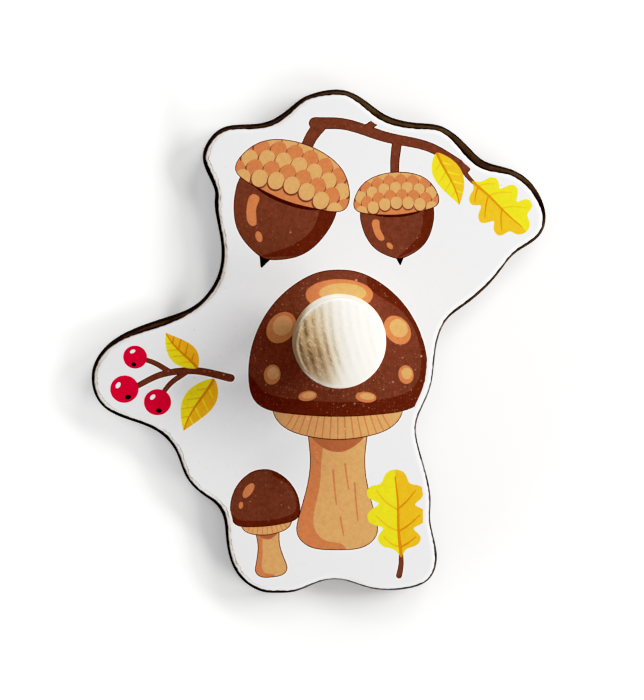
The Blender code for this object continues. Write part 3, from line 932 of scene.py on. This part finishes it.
def oak_leaf(x, y, length, turn, ink="yellow", other="amber"):
    """A lobed leaf from its base at (x, y), along +Y before it is turned."""
    right = [(1.5, 2.4), (5.0, 3.6), (6.5, 6.4), (4.6, 9.0), (7.6, 10.6), (9.0, 14.0), (5.7, 16.6),
             (7.9, 18.6), (8.0, 22.2), (4.6, 23.6), (3.4, 26.6), (0.2, 28.4)]
    left = [(-3.0, 27.0), (-4.8, 24.2), (-8.0, 23.6), (-8.8, 20.2), (-5.7, 18.0), (-8.9, 15.6),
            (-8.8, 12.0), (-5.0, 10.0), (-6.7, 7.6), (-5.7, 4.4), (-1.8, 2.6), (0, 0.2)]
    size = length / 28.0
    place = lambda p: moved(p, x, y, size, turn)
    shape = place(blob(right + left, 7))
    half = place([(0, -1), (14, -1), (14, 31), (0.1, 31), (0.3, 22), (-0.2, 12)])
    shapes = [(place(stroke([(-1.2, -5.6), (-0.3, -2.2), (0, 1.4)], 1.5, 1.0, 5, 3)), "brown", 0.2, None),
              (shape, ink, 0, None), (half, other, 0, shape)]
    for y0, x1, y1 in ((3.4, 5.0, 6.3), (8.6, 6.9, 13.2), (15.6, 6.2, 21.2)):
        for side, tone in ((-1, other), (1, "honey")):
            line = stroke([(0, y0), (side * x1 * 0.5, y0 + (y1 - y0) * 0.42), (side * x1, y1 + (side < 0))],
                          0.66, 0.36, 5, 2)
            shapes.append((place(line), tone, 0, shape))
    shapes.append((place(stroke([(0, 0), (-0.2, 9), (0.3, 18), (0.1, 26)], 1.1, 0.45, 6, 2)), "honey", 0,
                   shape))
    return shapes


def berry(x, y, r, turn=0.0):
    place = lambda p: moved(p, x, y, 1.0, turn)
    round_ = place(oval(0, 0, r, r * 0.97, 0, 48))
    return [(round_, "crimson", 0, None),
            (place(grown(oval(-r * 0.30, r * 0.26, r * 0.98, r * 0.94, 0, 48), 0)), "crimson", 0, round_),
            (place(oval(-r * 0.36, r * 0.38, r * 0.24, r * 0.15, 45, 24)), "white", 0, None),
            (place(oval(r * 0.1, -r * 0.62, r * 0.21, r * 0.17, 0, 20)), "black", 0, None)]


def picture():
    art = Picture()
    # oak sprig: twig, leaves and two acorns
    big, small = acorn(-9.4, 45.2, 1.12, -20, 21.0), acorn(23.4, 40.6, 0.80, 4, 25.5)
    lobed = oak_leaf(45.8, 49.6, 22.5, -132)
    art.joined([(stroke([(-1.5, 67.0), (8, 66.6), (20, 62.8), (33, 59.8), (44.2, 53.4)], 3.2, 2.2), "brown",
                 0.26, None), big[0], small[0], lobed[0],
                (stroke([(14, 65.4), (17.5, 68.0), (18.6, 69.4)], 1.9, 1.3), "brown", 0.26, None)])
    art.motif(leaf(35.2, 58.2, 17.5, 8.4, -158, "amber", "yellow", -0.10, 4)[1:])
    art.motif(lobed[1:])
    art.motif(small[1:])
    art.motif(big[1:])
    # the big mushroom, with the grip in its cap
    art.motif(mushroom(6, -1.5, 0.96, 0))
    # berries on the left lobe
    art.joined([(stroke([(-26.5, -10.6), (-37, -8.4), (-47, -9.4), (-55.5, -13.4)], 2.0, 1.3), "brown", 0.2, None),
                (stroke([(-44.5, -9), (-49.5, -6.0), (-54.5, -4.4)], 1.3, 1.0), "brown", 0.2, None),
                (stroke([(-40.0, -8.8), (-44.4, -12.0), (-47.2, -15.4)], 1.3, 1.0), "brown", 0.2, None)])
    art.motif(leaf(-36.5, -7.6, 14.5, 7.6, 40, "yellow", "amber", -0.10, 4)[1:])
    art.motif(leaf(-31.5, -10.8, 18.5, 9.2, 152, "amber", "yellow", 0.10, 4)[1:])
    art.motif(berry(-58.6, -14.0, 4.3, 15))
    art.motif(berry(-55.4, -4.2, 3.6, -20))
    art.motif(berry(-48.6, -18.0, 4.1, 0))
    # feet: a small mushroom and a standing leaf
    art.motif(mushroom(-16.2, -48.0, 0.37, 6, False))
    art.motif(oak_leaf(25.6, -66.0, 27, 5))
    up = np.array([0.0, 0.15])          # from the drawing's middle to the frame's
    # the ground was left a little paler close round the dark edges
    halos = [(grown(poly, 0.42), INK["white"], None) for poly, ink, clip in art.layers
             if ink == INK["line"] and clip is None]
    art.layers = [(poly + up, ink, None if clip is None else clip + up)
                  for poly, ink, clip in halos + art.layers]
    return art


# ---------------------------------------------------------------------------
# The pieces
# ---------------------------------------------------------------------------
soot_outer = charred("charred_outer_veneer", -0.1, GLUE_LOW, "#2C1B13", 0.5)
soot_core = charred("charred_core_veneer", GLUE_LOW, GLUE_HIGH, "#3A261B", 0.8)
soot_face = charred("charred_face_veneer", GLUE_HIGH, SHEET_LOW, "#301E15", 0.6)
scorch = scorched("scorched_top_veneer")
veneer = birch("birch_veneer", "#E2C79C", "#C29A66", 3)
cross_veneer = birch("birch_core_veneer", "#C9A877", "#9D7647", 93)

ROUND = BURNT + waves(3, 22, 1.9, 0.17) * np.clip(BURNT / 0.6, 0.30, 1.0)   # inset of the print's own edge
STEP = np.minimum(0.42 * BURNT, 0.55)                     # how deep the cut edge has burnt down
edge_low = np.abs(waves(11, 40, 3, 0.035))
edge_mid = np.abs(waves(12, 40, 3, 0.035))
edge_top = np.abs(waves(13, 40, 3, 0.03))
back = board(
    "back_veneer",
    [(inset, 0.0, 1) for inset in (6.0, 3.2, 1.9, 1.1, 0.6, 0.24)] + [
        (0.12, 0.03, 0), (0.06 + edge_low, 0.12, 0), (0.03 + edge_low, 0.45, 0),
        (0.02 + edge_low, GLUE_LOW - 0.30, 0), (0.05 + edge_low, GLUE_LOW - 0.08, 0),
        (0.13, GLUE_LOW, 0), (1.5, GLUE_LOW, 1)],
    [(4.0, 0.0), (3.72, 0.22), (3.66, 0.5), (2.15, 1.45), (2.15, GLUE_LOW)],
    [soot_outer, veneer], 1, 1, 1)
core = board(
    "core_veneer",
    [(1.5, GLUE_LOW, 1), (0.13, GLUE_LOW, 1), (0.05 + edge_mid, GLUE_LOW + 0.10, 0),
     (0.01 + edge_mid, GLUE_LOW + 0.5, 0), (edge_mid, (GLUE_LOW + GLUE_HIGH) / 2, 0),
     (0.01 + edge_mid, GLUE_HIGH - 0.5, 0), (0.05 + edge_mid, GLUE_HIGH - 0.10, 0),
     (0.13, GLUE_HIGH, 0), (1.5, GLUE_HIGH, 1)],
    [(2.15, GLUE_LOW), (2.15, GLUE_HIGH)], [soot_core, cross_veneer], 1, 1, 1)
face = board(
    "face_veneer",
    [(1.5, GLUE_HIGH, 1), (0.13, GLUE_HIGH, 1), (0.05 + edge_top, GLUE_HIGH + 0.08, 0),
     (0.02 + edge_top, GLUE_HIGH + 0.30, 0), (0.03 + edge_top, SHEET_LOW - STEP, 0),
     (0.07 * BURNT + 0.03 + edge_top, SHEET_LOW - STEP * 0.72, 2),
     (0.22 * BURNT + 0.03, SHEET_LOW - STEP * 0.46, 2), (0.45 * BURNT + 0.03, SHEET_LOW - STEP * 0.22, 2),
     (0.72 * BURNT + 0.03, SHEET_LOW - STEP * 0.06, 2), (BURNT + 0.03, SHEET_LOW, 2),
     (BURNT + 0.4, SHEET_LOW, 2), (3.0, SHEET_LOW, 1)],
    [(2.15, GLUE_HIGH), (2.15, SHEET_LOW)], [soot_face, veneer, scorch], 1, 1, 1)

# each ink: its colour, the depth of its mottle, the amount of painted glints
TONES = {"ground": ("#EBEBED", 0.08, 0.08), "white": ("#F5F4F3", 0.10, 0.0), "line": ("#491D13", 0.9, 0.7),
         "brown": ("#7A4233", 1.0, 1.0), "brown_low": ("#6A3021", 1.0, 1.0), "tan": ("#C68657", 0.50, 0.9),
         "tan_low": ("#AE7047", 0.50, 0.9), "sand": ("#D0A472", 0.40, 0.6), "crimson": ("#D11241", 0.4, 0.3),
         "crimson_low": ("#BA0632", 0.4, 0.3), "yellow": ("#E6D634", 0.35, 0.0), "amber": ("#E6B433", 0.35, 0.0),
         "honey": ("#D08F24", 0.4, 0.0), "black": ("#070504", 0.6, 0.4)}
inks = [printed("print_" + key, *TONES[key], key == "ground") for key in INKS]
top = BOARD_TOP
sheet = board(
    "print_face",
    [(BURNT + 1.0, SHEET_LOW - 0.01, 0), (ROUND + 0.02, SHEET_LOW - 0.01, 0), (ROUND, top - 0.20, 0),
     (ROUND + 0.03, top - 0.135, 0), (ROUND + 0.10, top - 0.100, 0), (ROUND + 0.22, top - 0.072, 0),
     (ROUND + 0.40, top - 0.046, 0), (ROUND + 0.62, top - 0.025, 0), (ROUND + 0.86, top - 0.010, 0),
     (ROUND + 1.10, top, 0), (ROUND + 1.35, top, 0), (ROUND + 1.75, top, 0)],
    [(2.15, SHEET_LOW), (2.15, top)], inks, 0, 0, 0, picture(), edge=ROUND)

# ---- the knob -------------------------------------------------------------
def arc(cr, cz, radius, start, end, steps):
    return [(cr + radius * math.cos(math.radians(start + (end - start) * k / steps)),
             cz + radius * math.sin(math.radians(start + (end - start) * k / steps)))
            for k in range(steps + 1)]


def knob_profile():
    """(radius, height, paler lip as painted highlight, yellower side, groove darkened as painted shade) rings."""
    top_z, rise, dome_r = KNOB_TOP, 1.6, 13.18
    side = [(0.0, top_z, 0, 0, 0)]
    for k in range(1, 19):
        r = dome_r * k / 18
        side.append((r, top_z - rise * (r / dome_r) ** 2, 0.0 if k < 18 else 0.5, 0, 0))
    side += [(r, z, 1, 0, 0) for r, z in arc(13.05, top_z - 2.18, 0.59, 74, 4, 7)]
    side += [(13.64, top_z - 2.36, 0.6, 0, 0), (13.65, top_z - 2.48, 0, 0.3, 0.8),
             (13.68, top_z - 2.60, 0, 0.5, 1), (13.74, top_z - 2.70, 0, 0.7, 1),
             (13.81, top_z - 2.80, 0, 1, 0.5), (13.86, top_z - 2.95, 0, 1, 0),
             (13.90, top_z - 3.3, 0, 1, 0), (13.94, top_z - 3.9, 0, 1, 0), (13.98, top_z - 4.6, 0, 1, 0),
             (14.03, top_z - 5.3, 0, 1, 0), (14.06, top_z - 6.2, 0, 1, 0), (14.08, top_z - 7.2, 0, 1, 0)]
    side += [(r, z, 0, 1, 0) for r, z in arc(14.08 - 1.3, top_z - 8.1, 1.3, 0, -70, 9)]
    r0, z0 = side[-1][:2]
    foot_z = BOARD_TOP + 3.1
    for k in range(1, 17):
        t = k / 16
        side.append((8.6 + (r0 - 8.6) * (1 - t) ** 2.3, z0 - (z0 - foot_z) * t, 0, 1, 0))
    side += [(r, BOARD_TOP + h, 0, 1, 0) for r, h in (
        (8.66, 2.6), (8.95, 2.1), (9.5, 1.65), (10.05, 1.35), (10.32, 1.0), (10.4, 0.6), (10.34, 0.2),
        (10.2, 0.02), (2.2, 0.02), (2.1, 0.3), (1.85, 10.4), (0.5, 14.6), (0.0, 14.8))]
    return side


wood = turned_wood("turned_beech")
knob_rings = knob_profile()
knob = lathe("knob", [ring[:2] for ring in knob_rings], [wood], 160,
             fields={"lip": [ring[2] for ring in knob_rings], "side": [ring[3] for ring in knob_rings],
                     "groove": [ring[4] for ring in knob_rings]})

# ---- the screw ------------------------------------------------------------
def wood_screw():
    """Head, plain shank, cut thread and point as one turned grid whose
    radius follows the thread's helix."""
    steps, pitch = 40, 1.55
    low, tip = SCREW_LOW, SCREW_TIP
    cone = low + 0.32 + (3.38 - 1.45)
    levels = [(low + 0.02, 3.22), (low + 0.06, 3.34), (low + 0.30, 3.38), (low + 0.42, 3.30)]
    levels += [(cone - 0.25, 1.66), (cone, 1.46), (cone + 0.6, 1.42)]
    start = cone + 1.6
    rows = [[(r, z)] * steps for z, r in levels]
    count = int((tip - start) / pitch * 10)
    for k in range(count + 1):
        z = start + (tip - 0.25 - start) * k / count
        point = min(1.0, (tip - z) / 4.2)
        root = 1.12 * point ** 0.8 + 0.04
        fade = min(1.0, (z - start) / 1.2) * (0.25 + 0.75 * point)
        row = []
        for s in range(steps):
            phase = ((z - start) / pitch - s / steps) % 1.0
            ridge = max(0.0, 1.0 - abs(phase - 0.5) / 0.20)
            row.append((root + 0.58 * ridge * fade, z))
        rows.append(row)
    verts, faces, kinds = [(KNOB[0] * MM, KNOB[1] * MM, (low + 0.02) * MM)], [], []
    rings = []
    for row in rows:
        first = len(verts)
        for s, (r, z) in enumerate(row):
            a = -math.tau * s / steps
            verts.append(((KNOB[0] + r * math.cos(a)) * MM, (KNOB[1] + r * math.sin(a)) * MM, z * MM))
        rings.append([first + s for s in range(steps)])
    verts.append((KNOB[0] * MM, KNOB[1] * MM, tip * MM))
    for s in range(steps):
        t = (s + 1) % steps
        faces.append((0, rings[0][s], rings[0][t]))
        faces.append((len(verts) - 1, rings[-1][t], rings[-1][s]))
        for a, b in zip(rings, rings[1:]):
            faces.append((a[s], b[s], b[t], a[t]))
    body = piece("screw", verts, faces, [zinc("zinc_plate"), zinc("recess_steel", True)], None, None, 30.0)
    for turn in (20.0, 110.0):
        mesh = bpy.data.meshes.new("recess")
        work = bmesh.new()
        bmesh.ops.create_cube(work, size=1.0)
        for v in work.verts:
            deep = v.co.z > 0
            v.co.x *= (3.9 * (0.42 if deep else 1.0)) * MM
            v.co.y *= (0.85 * (0.75 if deep else 1.0)) * MM
            v.co.z = (low + 1.5 if deep else low - 0.3) * MM
        work.to_mesh(mesh)
        work.free()
        mesh.materials.append(bpy.data.materials["zinc_plate"])
        mesh.materials.append(bpy.data.materials["recess_steel"])
        mesh.polygons.foreach_set("material_index", [1] * len(mesh.polygons))
        mesh.update()
        arm = bpy.data.objects.new("recess", mesh)
        arm.matrix_world = (Matrix.Translation((KNOB[0] * MM, KNOB[1] * MM, 0))
                            @ Matrix.Rotation(math.radians(turn), 4, "Z"))
        bpy.context.scene.collection.objects.link(arm)
        cut = body.modifiers.new("recess", "BOOLEAN")
        cut.operation, cut.solver, cut.object = "DIFFERENCE", "EXACT", arm
        bpy.context.view_layer.update()
        graph = bpy.context.evaluated_depsgraph_get()
        result = bpy.data.meshes.new_from_object(body.evaluated_get(graph))
        body.modifiers.clear()
        body.data = result
        bpy.data.objects.remove(arm)
    return body


screw = wood_screw()

for part, node, slot in ((back, "back_ply", "veneer"), (core, "core_ply", "core_veneer"),
                         (face, "face_ply", "veneer"), (sheet, "printed_sheet", "print"),
                         (knob, "turned_knob", "knob_wood"), (screw, "knob_screw", "screw_steel")):
    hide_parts(node)
    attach(part, "root")

# ---------------------------------------------------------------------------
# Ground, light and camera
# ---------------------------------------------------------------------------
work = bmesh.new()
bmesh.ops.create_grid(work, x_segments=8, y_segments=8, size=3.0)
ground_mesh = bpy.data.meshes.new("ground")
work.to_mesh(ground_mesh)
work.free()
ground_mesh.materials.append(worktop("white_ground"))
ground = bpy.data.objects.new("ground", ground_mesh)
ground.location = (0, 0, -0.00005)
bpy.context.scene.collection.objects.link(ground)


def area_light(name, azimuth, elevation, distance, wide, high, watts, colour=(1, 1, 1)):
    data = bpy.data.lights.new(name, "AREA")
    data.shape = "RECTANGLE"
    data.size, data.size_y = wide, high
    data.energy = watts
    data.color = colour
    lamp = bpy.data.objects.new(name, data)
    a, e = math.radians(azimuth), math.radians(elevation)
    way = Vector((math.cos(a) * math.cos(e), math.sin(a) * math.cos(e), math.sin(e)))
    lamp.location = way * distance
    lamp.rotation_mode = "QUATERNION"
    lamp.rotation_quaternion = way.to_track_quat("Z", "Y")
    lamp.visible_camera = False
    bpy.context.scene.collection.objects.link(lamp)
    return lamp


# a low row of windows, from the right round to the upper right, and a fill
window = (1.0, 0.985, 0.965)
area_light("window_right", -28, 27, 0.85, 0.45, 0.24, 3.0, window)
area_light("window_middle", 20, 23, 0.95, 0.51, 0.17, 8.2, window)
area_light("window_far", 62, 25, 0.95, 0.50, 0.17, 4.2, window)
area_light("side_low", -58, 47, 0.50, 0.22, 0.22, 0.10)
area_light("side_high", 128, 52, 0.50, 0.22, 0.22, 0.22)
area_light("bounce", 228, 18, 0.60, 0.50, 0.14, 0.27)

world = bpy.data.worlds.new("studio")
world.use_nodes = True
sky = world.node_tree
glow = sky.nodes["Background"]
# the ceiling over the camera is dim, so that the varnish stays deep
look = sky.nodes.new("ShaderNodeSeparateXYZ")
sky.links.new(sky.nodes.new("ShaderNodeTexCoord").outputs["Generated"], look.inputs[0])
dim = sky.nodes.new("ShaderNodeMapRange")
dim.interpolation_type = "SMOOTHSTEP"
sky.links.new(look.outputs["Z"], dim.inputs["Value"])
for key, value in (("From Min", 0.80), ("From Max", 0.95), ("To Min", 0.052), ("To Max", 0.01)):
    dim.inputs[key].default_value = value
sky.links.new(dim.outputs["Result"], glow.inputs["Strength"])
glow.inputs["Color"].default_value = (0.96, 0.98, 1.0, 1)
bpy.context.scene.world = world

bpy.context.scene.view_settings.view_transform = "Standard"
bpy.context.scene.view_settings.look = "None"
# the response of the camera: deep blacks, quick mid-tones, a soft shoulder
response = bpy.context.scene.view_settings
response.use_curve_mapping = True
curve = response.curve_mapping.curves[3]
for level, seen in ((0.012, 0.002), (0.05, 0.038), (0.12, 0.108), (0.22, 0.235), (0.36, 0.46), (0.55, 0.71),
                    (0.80, 0.895)):
    curve.points.new(level, seen)
response.curve_mapping.update()

PX_PER_MM = 3.309               # scale of the picture at the printed face
LENS, FAR = 340.0, 2.0
TILT, FACING = 9.2, 104.0       # degrees off square, and the way it leans
camera_data = bpy.data.cameras.new("camera")
camera_data.lens = LENS
camera_data.sensor_width = 36.0
camera_data.clip_start, camera_data.clip_end = 0.05, 50.0
camera = bpy.data.objects.new("camera", camera_data)
bpy.context.scene.collection.objects.link(camera)
t, a = math.radians(TILT), math.radians(FACING)
back_way = Vector((math.sin(t) * math.cos(a), math.sin(t) * math.sin(a), math.cos(t)))
right_way = (Vector((1, 0, 0)) - back_way * back_way.x).normalized()
up_way = back_way.cross(right_way)
distance = 700 * LENS / 36.0 / (PX_PER_MM * 1000)
aim = (Vector((0, 0, BOARD_TOP * MM)) + right_way * (322 - 318.5) / PX_PER_MM * MM
       - up_way * (350 - 343.86) / PX_PER_MM * MM)
turn = Matrix((right_way, up_way, back_way)).transposed().to_4x4()
camera.matrix_world = Matrix.Translation(aim + back_way * distance) @ turn
bpy.context.scene.camera = camera
